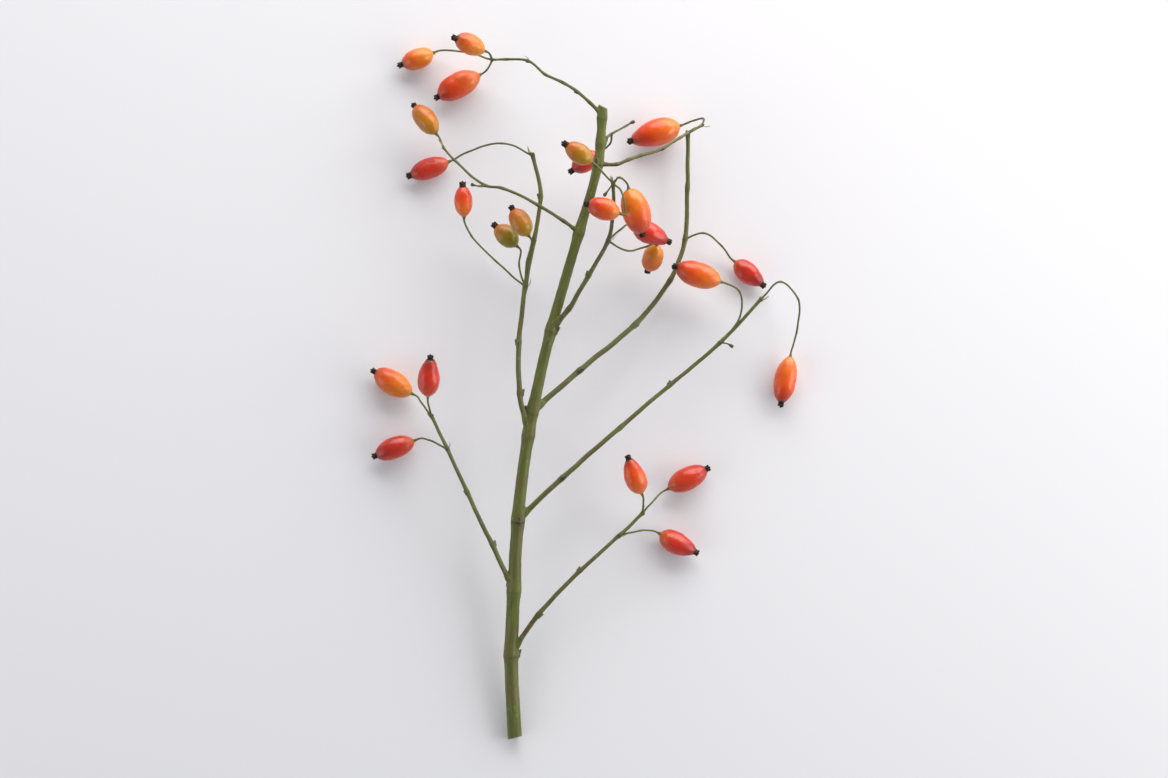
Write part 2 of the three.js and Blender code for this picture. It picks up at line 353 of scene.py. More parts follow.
def hand_over(piece: bpy.types.Object, slot: str, *nodes: str) -> None:
    """Puts a finished piece on the sprig's body, hides the CAD nodes that it replaces and logs its number of
    faces.

    Args:
        piece: The finished piece.
        slot: The record's material slot of the piece. Not used.
        *nodes: The CAD nodes that it replaces.
    """
    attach(piece, BODY)
    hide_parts(*nodes)
    log.info("%s: %d faces", piece.name, len(piece.data.polygons))


# ---- The frame: where the CAD part has things ----


def corners_of(node: str) -> list[Vector]:
    """The separate corners of a CAD node's mesh, each one once."""
    found = {tuple(round(c, 7) for c in vertex.co) for vertex in frame["nodes"][node].data.vertices}
    return [Vector(c) for c in sorted(found)]


def middle_of(points: list[Vector]) -> Vector:
    """The mean of some points."""
    return sum(points, Vector()) / len(points)


def plan_to_frame() -> Vector:
    """Finds how far the plan's routes are from the frame, in metres.

    Returns:
        The vector to add to a route's point, from the ring of corners at the stem's foot.
    """
    corners = corners_of("main_stem")
    lowest = min(c.y for c in corners)
    foot = [c for c in corners if c.y < lowest + 2 * MM]
    return middle_of(foot) - Vector(STEM_ROUTE[0]) * MM


SHIFT = plan_to_frame()


def framed(place: Place) -> Vector:
    """A point of the plan as a point of the frame, in metres."""
    return Vector(place) * MM + SHIFT


@dataclass(frozen=True)
class Stance:
    """How a hip or a calyx of the CAD part lies.

    Attributes:
        base: The middle of its near end.
        axis: The direction to its far end.
        length: Its length along the axis.
        radius: Its greatest distance from the axis.
    """

    base: Vector
    axis: Vector
    length: float
    radius: float

    @classmethod
    def of(cls, node: str, axis: Vector) -> "Stance":
        """Measures a CAD node along an axis.

        Args:
            node: The CAD node's name.
            axis: The direction that it points in.

        Returns:
            The node's stance.
        """
        corners = corners_of(node)
        middle = middle_of(corners)
        along = [(c - middle).dot(axis) for c in corners]
        radius = max((c - middle - axis * a).length for c, a in zip(corners, along))
        return cls(middle + axis * min(along), axis, max(along) - min(along), radius)

    def matrix(self, roll: float) -> Matrix:
        """The turn and move that lays a form standing on the origin along +Z in this stance."""
        return standing(self.base, self.axis) @ Matrix.Rotation(roll, 4, "Z")


def hip_stances(twig: str, number: int) -> tuple[Stance, Stance]:
    """The stances of a hip and of its calyx, from the twig's name and the hip's number.

    Args:
        twig: The twig's name.
        number: The hip's number.

    Returns:
        The hip's stance and the calyx's.
    """
    hip, calyx = f"{twig}_hip_{number}", f"{twig}_calyx_{number}"
    axis = (middle_of(corners_of(calyx)) - middle_of(corners_of(hip))).normalized()
    return Stance.of(hip, axis), Stance.of(calyx, axis)


# ---- Materials ----


class Graph:
    """Places and joins the nodes of one material or one group."""

    def __init__(self, tree: bpy.types.NodeTree) -> None:
        """Starts from an empty tree."""
        self.tree = tree
        tree.nodes.clear()

    def add(self, kind: str, inputs: dict | None = None, **settings: object) -> bpy.types.Node:
        """Adds a node.

        Args:
            kind: The node's type.
            inputs: A value or a socket for each input, by name or number.
            **settings: The node's own settings.

        Returns:
            The node.
        """
        node = self.tree.nodes.new(kind)
        for key, value in settings.items():
            setattr(node, key, value)
        for key, value in (inputs or {}).items():
            if isinstance(value, bpy.types.NodeSocket):
                self.tree.links.new(value, node.inputs[key])
            else:
                node.inputs[key].default_value = value
        return node

    @classmethod
    def of_material(cls, name: str) -> tuple["Graph", bpy.types.Material]:
        """Starts a material and gives its graph with it.

        Args:
            name: The material's name.

        Returns:
            The graph and the material.
        """
        material = bpy.data.materials.new(name)
        material.use_nodes = True
        return cls(material.node_tree), material

    def attribute(self, name: str, output: str = "Fac") -> bpy.types.NodeSocket:
        """Reads an attribute of the mesh and gives its socket."""
        return self.add("ShaderNodeAttribute", attribute_name=name, attribute_type="GEOMETRY").outputs[output]

    def place(self) -> bpy.types.NodeSocket:
        """The place on the piece, as its Object coordinates."""
        return self.add("ShaderNodeTexCoord").outputs["Object"]

    def group(self, tree: bpy.types.NodeTree, inputs: dict) -> bpy.types.bpy_prop_collection:
        """Places a shared group with its own values and gives its output sockets."""
        return self.add("ShaderNodeGroup", inputs, node_tree=tree).outputs

    def mix(self, share: object, a: object, b: object) -> bpy.types.NodeSocket:
        """Mixes two colours by a share and gives the result's socket."""
        return self.add("ShaderNodeMix", {0: share, 6: a, 7: b}, data_type="RGBA").outputs[2]

    def math(self, how: str, a: object, b: object) -> bpy.types.NodeSocket:
        """Works out one number from two and gives its socket, held between 0 and 1."""
        return self.add("ShaderNodeMath", {0: a, 1: b}, operation=how, use_clamp=True).outputs[0]

    def times(self, a: object, b: object) -> bpy.types.NodeSocket:
        """Multiplies two numbers and gives the product's socket."""
        return self.math("MULTIPLY", a, b)

    def fit(self, value: object, low: float, high: float, out: Row = (0.0, 1.0)) -> bpy.types.NodeSocket:
        """Maps a number from one range to another, smoothly, and gives its socket."""
        ends = {0: value, 1: low, 2: high, 3: out[0], 4: out[1]}
        return self.add("ShaderNodeMapRange", ends, interpolation_type="SMOOTHSTEP").outputs[0]

    def noise(self, vector: object, scale: object, detail: float) -> bpy.types.NodeSocket:
        """Even noise over a vector, about 0.5, and gives its socket."""
        return self.add("ShaderNodeTexNoise", {"Vector": vector, "Scale": scale, "Detail": detail}).outputs[0]

    def ramp(self, share: object, stops: list[tuple[float, Colour]]) -> bpy.types.NodeSocket:
        """A colour by a share, through the stops, and gives its socket.

        Args:
            share: The number that the colour follows.
            stops: The colours and the shares that they stand at.

        Returns:
            The colour's socket.
        """
        node = self.add("ShaderNodeValToRGB", {0: share})
        elements = node.color_ramp.elements
        while len(elements) < len(stops):
            elements.new(0.5)
        for element, (place, colour) in zip(elements, stops):
            element.position = place
            element.color = colour
        return node.outputs[0]

    def dots(self, vector: object, scale: float, low: float, high: float) -> bpy.types.NodeSocket:
        """Round spots spread over a vector, 1 in their middles, and gives their socket."""
        cells = self.add("ShaderNodeTexVoronoi", {"Vector": vector, "Scale": scale})
        return self.fit(cells.outputs["Distance"], low, high, (1.0, 0.0))

    def finish(self, height: object, strength: float, distance: float, inputs: dict) -> None:
        """Ends a material with its bumps and a Principled shader.

        Args:
            height: The height that the bumps follow.
            strength: How strongly they show.
            distance: How high they are, in metres.
            inputs: The shader's own inputs.
        """
        bump = self.add("ShaderNodeBump", {"Height": height, "Strength": strength, "Distance": distance})
        shader = self.add("ShaderNodeBsdfPrincipled", {"Normal": bump.outputs[0], **inputs})
        self.add("ShaderNodeOutputMaterial", {"Surface": shader.outputs[0]})


FLOAT, VECTOR = "NodeSocketFloat", "NodeSocketVector"


def new_group(name: str, inputs: dict[str, str]) -> tuple[Graph, dict[str, bpy.types.NodeSocket]]:
    """Starts a shader node group.

    Args:
        name: The group's name.
        inputs: The type of each input socket, by name.

    Returns:
        The group's graph and the sockets that bring its inputs in.
    """
    tree = bpy.data.node_groups.new(name, "ShaderNodeTree")
    for label, kind in inputs.items():
        tree.interface.new_socket(label, in_out="INPUT", socket_type=kind)
    graph = Graph(tree)
    came_in = graph.add("NodeGroupInput")
    return graph, {label: came_in.outputs[label] for label in inputs}


def end_group(graph: Graph, results: dict[str, bpy.types.NodeSocket]) -> bpy.types.NodeTree:
    """Ends a shader node group.

    Args:
        graph: The group's graph.
        results: The number that the group gives out, by name.

    Returns:
        The finished group.
    """
    for label in results:
        graph.tree.interface.new_socket(label, in_out="OUTPUT", socket_type=FLOAT)
    graph.add("NodeGroupOutput", results)
    return graph.tree


def make_mottle() -> bpy.types.NodeTree:
    """Builds the group that mottles a living skin: broad patches, pale pores and a few dark flecks.

    Returns:
        The finished group.
    """
    graph, got = new_group("living_mottle", {"Vector": VECTOR, "Patch Scale": FLOAT, "Pore Scale": FLOAT})
    place = got["Vector"]
    patches = graph.noise(place, got["Patch Scale"], 4.0)
    pores = graph.dots(place, got["Pore Scale"], 0.1, 0.22)
    specks = graph.add("ShaderNodeTexVoronoi", {"Vector": place, "Scale": 330.0, "Randomness": 1.0})
    few = graph.fit(specks.outputs["Color"], 0.80, 0.82)
    flecks = graph.times(few, graph.fit(specks.outputs["Distance"], 0.05, 0.11, (1.0, 0.0)))
    fine = graph.noise(place, got["Pore Scale"], 2.0)
    height = graph.math("ADD", graph.times(pores, 0.35), graph.times(fine, 0.5))
    return end_group(graph, {
        "Patches": graph.fit(patches, 0.36, 0.64), "Pores": pores, "Flecks": flecks, "Height": height})


def make_fibre() -> bpy.types.NodeTree:
    """Builds the group that draws bark: streaks along the wood, and corky spots that stand out.

    Returns:
        The finished group.
    """
    graph, got = new_group("bark_fibre", {"Grain": VECTOR, "Streak Scale": FLOAT})
    drawn = graph.add("ShaderNodeMapping", {"Vector": got["Grain"], "Scale": (1.0, 1.0, 0.08)})
    streaks = graph.noise(drawn.outputs[0], got["Streak Scale"], 4.0)
    near = graph.add("ShaderNodeMapping", {"Vector": got["Grain"], "Scale": (1.0, 1.0, 0.5)})
    cork = graph.dots(near.outputs[0], 520.0, 0.12, 0.24)
    height = graph.math("ADD", graph.times(streaks, 0.6), graph.times(cork, 0.4))
    return end_group(graph, {"Streaks": graph.fit(streaks, 0.34, 0.66), "Cork": cork, "Height": height})


PALE_PORE: Colour = (0.9, 0.45, 0.12, 1)
DARK_FLECK: Colour = (0.13, 0.05, 0.02, 1)
CALYX_RIM: Colour = (0.05, 0.025, 0.012, 1)
STALK_SEAT: Colour = (0.16, 0.17, 0.04, 1)


@dataclass(frozen=True)
class SkinFinish:
    """The waxy skin of a hip, from its stalk end to its calyx end.

    Attributes:
        name: The material's name.
        stalk_end: The colour round the stalk.
        shoulder: The colour of the near third.
        belly: The colour of the far half.
        calyx_end: The colour round the calyx.
        blush: The colour of the side that the sun ripened.
        unripe: The colour that lingers near the stalk of a less ripe hip.
    """

    name: str
    stalk_end: Colour
    shoulder: Colour
    belly: Colour
    calyx_end: Colour
    blush: Colour
    unripe: Colour

    def build(self, mottle: bpy.types.NodeTree) -> bpy.types.Material:
        """Builds the material.

        Args:
            mottle: The group that mottles a living skin.

        Returns:
            The material.
        """
        graph, material = Graph.of_material(self.name)
        along, sunny, tone = (graph.attribute(name) for name in ("along", "sunny", "tone"))
        marks = graph.group(mottle, {"Vector": graph.place(), "Patch Scale": 260.0, "Pore Scale": 1500.0})
        patches = marks["Patches"]
        uneven = graph.math("ADD", along, graph.fit(patches, 0.0, 1.0, (-0.07, 0.07)))
        skin = graph.ramp(uneven, [
            (0.0, self.stalk_end), (0.24, self.shoulder), (0.68, self.belly), (0.98, self.calyx_end)])
        late = graph.times(graph.fit(tone, 0.6, 0.0), graph.fit(uneven, 1.2, 0.1, (0.1, 0.9)))
        flush = graph.times(graph.times(sunny, tone), graph.fit(patches, 0, 1, (0.65, 1.0)))
        for share, colour in (
                (late, self.unripe), (flush, self.blush), (graph.times(marks["Pores"], 0.12), PALE_PORE),
                (graph.times(marks["Flecks"], 0.6), DARK_FLECK), (graph.fit(along, 0.955, 1.0), CALYX_RIM),
                (graph.times(graph.fit(along, 0.03, 0.0), 0.7), STALK_SEAT)):
            skin = graph.mix(share, skin, colour)
        graph.finish(marks["Height"], 0.12, 0.0001, {
            "Base Color": skin, "Roughness": graph.fit(patches, 0.0, 1.0, (0.27, 0.37)), "IOR": 1.46,
            "Subsurface Weight": 0.06, "Subsurface Radius": (1.0, 0.25, 0.08), "Subsurface Scale": 0.001,
            "Coat Weight": 0.25, "Coat Roughness": 0.18,
        })
        return material


@dataclass(frozen=True)
class BarkFinish:
    """The bark of green rose wood.

    Attributes:
        name: The material's name.
        green: The colour of young bark.
        shade: The colour of its darker streaks.
        old: The colour of the oldest bark.
        knot: The colour at the nodes.
        cork: The colour of the corky spots.
        streak_scale: How fine the streaks are.
    """

    name: str
    green: Colour
    shade: Colour
    old: Colour
    knot: Colour
    cork: Colour
    streak_scale: float

    def build(self, fibre: bpy.types.NodeTree) -> bpy.types.Material:
        """Builds the material.

        Args:
            fibre: The group that draws bark.

        Returns:
            The material.
        """
        graph, material = Graph.of_material(self.name)
        grain = graph.attribute("grain", "Vector")
        age, knot = graph.attribute("age"), graph.attribute("knot")
        place = graph.place()
        lines = graph.group(fibre, {"Grain": grain, "Streak Scale": self.streak_scale})
        weather = graph.fit(graph.noise(place, 90.0, 4.0), 0.38, 0.66)
        dark = graph.times(knot, graph.fit(graph.noise(place, 700.0, 2.0), 0.3, 0.6, (0.4, 1.0)))
        bark: object = self.green
        for share, colour in (
                (graph.times(lines["Streaks"], 0.75), self.shade), (graph.times(weather, age), self.old),
                (graph.times(lines["Cork"], 0.5), self.cork), (dark, self.knot)):
            bark = graph.mix(share, bark, colour)
        graph.finish(lines["Height"], 0.45, 0.00018, {
            "Base Color": bark, "Roughness": graph.fit(lines["Streaks"], 0.0, 1.0, (0.46, 0.62)),
            "Specular IOR Level": 0.4})
        return material


@dataclass(frozen=True)
class DryFinish:
    """A dry, matt plant surface in two colours, such as a calyx, a bract or a cut face.

    Attributes:
        name: The material's name.
        dark: The darker colour.
        light: The lighter colour.
        scale: How fine the noise between the two is.
        share: How much of the lighter colour shows.
        rough: The roughness.
    """

    name: str
    dark: Colour
    light: Colour
    scale: float
    share: float
    rough: float

    def build(self) -> bpy.types.Material:
        """Builds the material.

        Returns:
            The material.
        """
        graph, material = Graph.of_material(self.name)
        spread = graph.noise(graph.place(), self.scale, 5.0)
        edge = 0.5 + 0.3 * (1 - 2 * self.share)
        colour = graph.mix(graph.fit(spread, edge - 0.12, edge + 0.12), self.dark, self.light)
        graph.finish(spread, 0.6, 0.0002, {
            "Base Color": colour, "Roughness": self.rough, "Specular IOR Level": 0.25})
        return material


class Ripeness(Enum):
    """How ripe a hip is, by the record's material slot."""

    ORANGE = "skin_orange"
    RED = "skin_red"
    AMBER = "skin_amber"


SKINS = {
    Ripeness.ORANGE: SkinFinish(
        "orange_hip_skin", (0.72, 0.23, 0.022, 1), (0.76, 0.14, 0.010, 1), (0.69, 0.052, 0.003, 1),
        (0.42, 0.024, 0.004, 1), (0.47, 0.022, 0.004, 1), (0.62, 0.22, 0.010, 1)),
    Ripeness.RED: SkinFinish(
        "red_hip_skin", (0.60, 0.10, 0.018, 1), (0.62, 0.042, 0.012, 1), (0.57, 0.024, 0.009, 1),
        (0.30, 0.012, 0.006, 1), (0.31, 0.006, 0.007, 1), (0.56, 0.11, 0.014, 1)),
    Ripeness.AMBER: SkinFinish(
        "amber_hip_skin", (0.47, 0.255, 0.006, 1), (0.50, 0.200, 0.002, 1), (0.45, 0.125, 0.001, 1),
        (0.48, 0.105, 0.001, 1), (0.48, 0.080, 0.001, 1), (0.22, 0.195, 0.010, 1)),
}
STEM_BARK = BarkFinish(
    "stem_bark_green", (0.118, 0.146, 0.026, 1), (0.060, 0.080, 0.013, 1), (0.115, 0.095, 0.034, 1),
    (0.040, 0.026, 0.015, 1), (0.24, 0.22, 0.10, 1), 900.0)
TWIG_BARK = BarkFinish(
    "twig_bark_green", (0.120, 0.140, 0.034, 1), (0.062, 0.076, 0.018, 1), (0.095, 0.070, 0.032, 1),
    (0.036, 0.023, 0.014, 1), (0.22, 0.20, 0.10, 1), 1400.0)
CALYX_HUSK = DryFinish(
    "dried_calyx_husk", (0.014, 0.009, 0.007, 1), (0.10, 0.052, 0.028, 1), 1500.0, 0.35, 0.8)
BRACT_LEAF = DryFinish("small_bract", (0.11, 0.085, 0.035, 1), (0.22, 0.26, 0.09, 1), 500.0, 0.65, 0.6)
CUT_WOOD = DryFinish("cut_wood", (0.17, 0.130, 0.062, 1), (0.25, 0.205, 0.10, 1), 4200.0, 0.5, 0.75)
PITH = DryFinish("pith", (0.30, 0.24, 0.14, 1), (0.42, 0.36, 0.23, 1), 5000.0, 0.6, 0.9)


@dataclass
class Palette:
    """Every material of the sprig, built once."""

    skins: dict[Ripeness, bpy.types.Material] = field(default_factory=dict)
    named: dict[str, bpy.types.Material] = field(default_factory=dict)

    def build(self) -> "Palette":
        """Builds the shared groups and the materials.

        Returns:
            The palette itself.
        """
        mottle, fibre = make_mottle(), make_fibre()
        self.skins = {ripeness: finish.build(mottle) for ripeness, finish in SKINS.items()}
        self.named = {
            "stem": STEM_BARK.build(fibre), "twig": TWIG_BARK.build(fibre), "calyx": CALYX_HUSK.build(),
            "bract": BRACT_LEAF.build(), "cut": CUT_WOOD.build(), "pith": PITH.build(),
        }
        return self

    def dress(self, piece: bpy.types.Object, *names: str) -> None:
        """Gives a piece these materials, in this order."""
        for name in names:
            piece.data.materials.append(self.named[name])


# ---- Routes ----


def through(points: list[Vector], step: float) -> list[Vector]:
    """Draws the smooth line that the CAD part draws through the same points.

    Args:
        points: The points to pass.
        step: About how far apart the samples are.

    Returns:
        Points along a centripetal Catmull-Rom curve.
    """
    ends = [2 * points[0] - points[1], *points, 2 * points[-1] - points[-2]]
    drawn = [points[0].copy()]
    for before, start, end, after in zip(ends, ends[1:], ends[2:], ends[3:]):
        a, b, c = (max((q - p).length, 1e-9) ** 0.5 for p, q in ((before, start), (start, end), (end, after)))
        leave = ((start - before) / a - (end - before) / (a + b) + (end - start) / b) * b
        arrive = ((end - start) / b - (after - start) / (b + c) + (after - end) / c) * b
        count = max(2, round((end - start).length / step))
        for k in range(1, count + 1):
            t = k / count
            drawn.append(
                start * (2 * t**3 - 3 * t**2 + 1) + leave * (t**3 - 2 * t**2 + t)
                + end * (3 * t**2 - 2 * t**3) + arrive * (t**3 - t**2))
    return drawn


@dataclass
class Route:
    """A middle line with a radius, an age and a knot mark at each of its points.

    Attributes:
        points: The points of the line.
        radii: The radius at each point.
        ages: How old the bark is at each point, from 0 to 1.
        knots: How near each point is to a node, from 0 to 1.
        lengths: The distance along the line to each point.
        sides: A direction across the line at each point.
        outs: The direction that the nearest leaf scar faces, at each point.
    """

    points: list[Vector]
    radii: list[float]
    ages: list[float]
    knots: list[float]
    lengths: list[float] = field(default_factory=list)
    sides: list[Vector] = field(default_factory=list)
    outs: list[Vector] = field(default_factory=list)

    def __post_init__(self) -> None:
        """Measures the line and carries a side direction along it without a twist."""
        self.lengths = [0.0]
        for p, q in zip(self.points, self.points[1:]):
            self.lengths.append(self.lengths[-1] + (q - p).length)
        side = self.tangent(0).orthogonal().normalized()
        for k in range(len(self.points)):
            side = (side - self.tangent(k) * side.dot(self.tangent(k))).normalized()
            self.sides.append(side.copy())
        self.outs = list(self.sides)

    def nearest(self, place: Vector) -> int:
        """The number of the point nearest to a place."""
        return min(range(len(self.points)), key=lambda k: (self.points[k] - place).length_squared)

    def face_scars(self, nodes: list[int], first: float, turn: float) -> None:
        """Turns the leaf scars around the line, each by the same angle from the one before.

        Args:
            nodes: The numbers of the points where the scars are.
            first: The angle of the first scar.
            turn: The angle from one scar to the next.
        """
        for k in range(len(self.points)):
            number = min(range(len(nodes)), key=lambda n: abs(nodes[n] - k))
            self.outs[k] = Matrix.Rotation(first + turn * number, 3, self.tangent(k)) @ self.sides[k]

    def tangent(self, k: int) -> Vector:
        """The direction of the line at a point."""
        low, high = max(k - 1, 0), min(k + 1, len(self.points) - 1)
        return (self.points[high] - self.points[low]).normalized()

    def tube(self) -> bpy.types.Object:
        """Draws the line as a curve with a round bevel of its radii and makes it a closed mesh.

        Returns:
            The tube.
        """
        deselect()
        bpy.ops.curve.primitive_nurbs_path_add()
        path = bpy.context.object
        path.data.splines.clear()
        spline = path.data.splines.new("POLY")
        spline.points.add(len(self.points) - 1)
        for point, place, radius in zip(spline.points, self.points, self.radii):
            point.co = (*place, 1.0)
            point.radius = radius
        path.data.bevel_depth = 1.0
        path.data.bevel_resolution = 8
        path.data.use_fill_caps = True
        bpy.ops.object.convert(target="MESH")
        return bpy.context.object


def wander(points: list[Vector], amount: float, wave: float) -> list[Vector]:
    """Lets a line stray a little from its course, as a grown twig does, and keeps its ends.

    Args:
        points: The points of the line.
        amount: How far it strays, in metres.
        wave: The length of a stray, in metres.

    Returns:
        The moved points.
    """
    last = len(points) - 1
    return [p + noise.noise_vector(p / wave) * amount * min(1.0, 12 * k / last, 12 * (last - k) / last)
            for k, p in enumerate(points)]


def bell(gap: float, reach: float) -> float:
    """How near a gap is to nothing, from 1 at no gap to 0 well past the reach."""
    return math.exp(-((gap / reach) ** 2))


# ---- Wood: the stem and its twigs ----

# The steps that a cut face is drawn in by, from the bark's lip over the wood to the pith: how much smaller
# the face gets, and how far it sinks as a share of the radius.
CUT_STEPS = ((0.9, 0.02), (0.86, 0.05), (0.45, 0.0), (0.8, 0.07), (0.4, 0.02))
PITH_SHARE = 0.34
BUD_OUTLINE = ((0.0, 0.24), (0.12, 0.34), (0.32, 0.36), (0.55, 0.28), (0.8, 0.15), (1.0, 0.04))
BRACT_OUTLINE = ((0.0, 0.35), (0.12, 0.7), (0.35, 1.0), (0.6, 0.85), (0.82, 0.5), (1.0, 0.06))


@dataclass
class Wood:
    """What the stem and the twigs share: the sizes of their details and the way they are welded.

    Attributes:
        step: How far apart the points of a route are, in metres.
        overhang: How far a tube runs past an end that is then cut, in metres.
        smooth: How often a welded surface is evened out.
        shadows: Where the bark is dark, and how far around.
    """

    step: float = 0.7 * MM
    overhang: float = 2.5 * MM
    smooth: int = 3
    shadows: list[tuple[Vector, float]] = field(default_factory=list)

    def weld(self, parts: list[bpy.types.Object], name: str, cell: float) -> bpy.types.Object:
        """Grows tubes, knuckles and buds together into one skin.

        Args:
            parts: Closed meshes that touch.
            name: The name of the result.
            cell: The size of the cells that the skin is drawn on, in metres.

        Returns:
            The welded object.
        """
        piece = join(parts, name)
        finish_with(piece, "REMESH", mode="VOXEL", voxel_size=cell)
        finish_with(piece, "SMOOTH", factor=0.5, iterations=self.smooth)
        return piece

    def mark(self, piece: bpy.types.Object, routes: list[Route]) -> None:
        """Stores the bark's grain, age and knots on a welded piece, from the nearest points of its routes.

        Args:
            piece: The welded object.
            routes: The lines that it was made along.
        """
        spots = [(route, k) for route in routes for k in range(len(route.points))]
        lines, shadows = KDTree(len(spots)), KDTree(len(self.shadows))
        for number, (route, k) in enumerate(spots):
            lines.insert(route.points[k], number)
        for number, (place, _) in enumerate(self.shadows):
            shadows.insert(place, number)
        lines.balance()
        shadows.balance()
        grain: list[float] = []
        ages: list[float] = []
        knots: list[float] = []
        for vertex in piece.data.vertices:
            place, number, _ = lines.find(vertex.co)
            route, k = spots[number]
            off = vertex.co - place
            side, out = route.sides[k], route.outs[k]
            across = route.tangent(k).cross(side)
            grain += (off.dot(side), off.dot(across), route.lengths[k] + off.dot(route.tangent(k)))
            ages.append(route.ages[k])
            knot = route.knots[k] * (0.3 + 0.7 * max(0.0, off.normalized().dot(out)))
            if self.shadows:
                _, number, gap = shadows.find(vertex.co)
                knot = max(knot, 1.3 - 1.3 * gap / self.shadows[number][1])
            knots.append(min(1.0, knot))
        piece.data.attributes.new("grain", "FLOAT_VECTOR", "POINT").data.foreach_set("vector", grain)
        put_attribute(piece, "age", ages)
        put_attribute(piece, "knot", knots)

    def bud(self, route: Route, k: int, size: float) -> bpy.types.Object:
        """Models a pointed bud on its cushion, where a leaf was, leaning along the wood.

        Args:
            route: The line of the wood that it sits on.
            k: The number of the route point that it sits at.
            size: Its length, in metres.

        Returns:
            The bud and its cushion.
        """
        out, up = route.outs[k], route.tangent(k)
        place = route.points[k] + out * (route.radii[k] - 0.2 * size)
        bud = loft([(h * size, r * size) for h, r in BUD_OUTLINE], 10)
        lean = (up + out * 0.75).normalized()
        bud.data.transform(standing(place, lean))
        cushion = self.knuckle(place - up * 0.25 * size, 0.42 * size)
        self.shadows.append((place + lean * 0.75 * size, 0.75 * size))
        self.shadows.append((place - up * 0.3 * size + out * 0.2 * size, 0.5 * size))
        return join([bud, cushion], "bud")

    def knuckle(self, place: Vector, radius: float) -> bpy.types.Object:
        """Models the swollen joint where stalks leave the wood or where a leaf was.

        Args:
            place: Its middle.
            radius: Its radius, in metres.

        Returns:
            The knuckle.
        """
        deselect()
        bpy.ops.mesh.primitive_uv_sphere_add(segments=16, ring_count=10, radius=radius)
        knuckle = bpy.context.object
        edit_all()
        bpy.ops.transform.resize(value=(1.0, 1.15, 0.9), center_override=(0, 0, 0))
        deselect()
        knuckle.data.transform(Matrix.Translation(place))
        return knuckle

    def cut(self, piece: bpy.types.Object, place: Vector, slant: Vector) -> None:
        """Cuts an end off flat, closes the cut and leaves it selected in edit mode.

        Args:
            piece: The wood.
            place: The middle of the cut.
            slant: The direction that the cut face looks in.
        """
        pick(piece)
        bpy.ops.object.mode_set(mode="EDIT")
        bpy.ops.mesh.select_mode(type="FACE")
        bpy.ops.mesh.select_all(action="SELECT")
        bpy.ops.mesh.bisect(
            plane_co=place, plane_no=slant.normalized(), use_fill=True, clear_outer=True, threshold=1e-7)

    def sink(self, place: Vector, slant: Vector, radius: float) -> None:
        """Lets the wood and the pith of a selected cut face stand a little back from the bark.

        Args:
            place: The middle of the cut.
            slant: The direction that the cut face looks in.
            radius: The wood's radius there.
        """
        for grow, depth in CUT_STEPS:
            step = -slant.normalized() * depth * radius
            bpy.ops.mesh.extrude_region_move(TRANSFORM_OT_translate={"value": step})
            bpy.ops.transform.resize(value=(grow, grow, grow), center_override=place)
        deselect()

    def dress_cut(self, piece: bpy.types.Object, place: Vector, slant: Vector, radius: float) -> None:
        """Gives a cut face its wood and its pith.

        Args:
            piece: The wood, with materials for its bark, its cut wood and its pith.
            place: The middle of the cut.
            slant: The direction that the cut face looks in.
            radius: The wood's radius there.
        """
        normal = slant.normalized()
        for face in piece.data.polygons:
            off = face.center - place
            flat = abs(face.normal.dot(normal)) > 0.6 and abs(off.dot(normal)) < 0.35 * radius
            if flat and off.length < 1.3 * radius:
                face.material_index = 2 if off.length < PITH_SHARE * radius else 1


